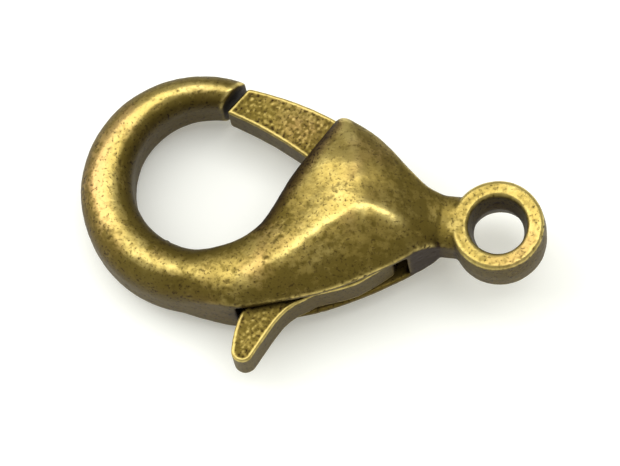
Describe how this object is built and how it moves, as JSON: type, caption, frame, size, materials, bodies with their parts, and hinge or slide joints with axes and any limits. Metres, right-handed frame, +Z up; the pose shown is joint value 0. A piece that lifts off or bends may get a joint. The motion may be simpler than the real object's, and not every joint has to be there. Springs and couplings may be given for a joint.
{
  "type": "lobster clasp",
  "caption": "Cast lobster clasp in antique brass with a sprung lever, a thumb spur and an eye ring, lying on its side.",
  "frame": {"origin": "centre of the bounding box, at the level of the table that the clasp lies on", "axes": "+X from the hook to the eye, +Y to the side that the gate is on, +Z up through the thickness"},
  "size_m": [0.0118, 0.0074, 0.0032],
  "materials": {
    "cast_body": "antique brass plating, tumbled, dark in the recesses",
    "cast_lever": "antique brass plating, as-cast pitted faces with bright rubbed borders",
    "steel": "spring steel, dulled by the plating bath"
  },
  "bodies": {
    "clasp": {"body": "cast_body", "pivot_pin": "steel", "spring": "steel"},
    "lever": {"lever": "cast_lever"}
  },
  "joints": [
    {"name": "lever_pivot", "type": "hinge", "parent": "clasp", "child": "lever", "pos_m": [0.00047, 0.00049, 0.00154], "axis": [-0.0858, 0.0212, 0.9961], "range_deg": [0, 28], "stiffness_Nm_per_rad": 0.008, "springref_deg": -22.92, "deforming": ["spring"]}
  ]
}
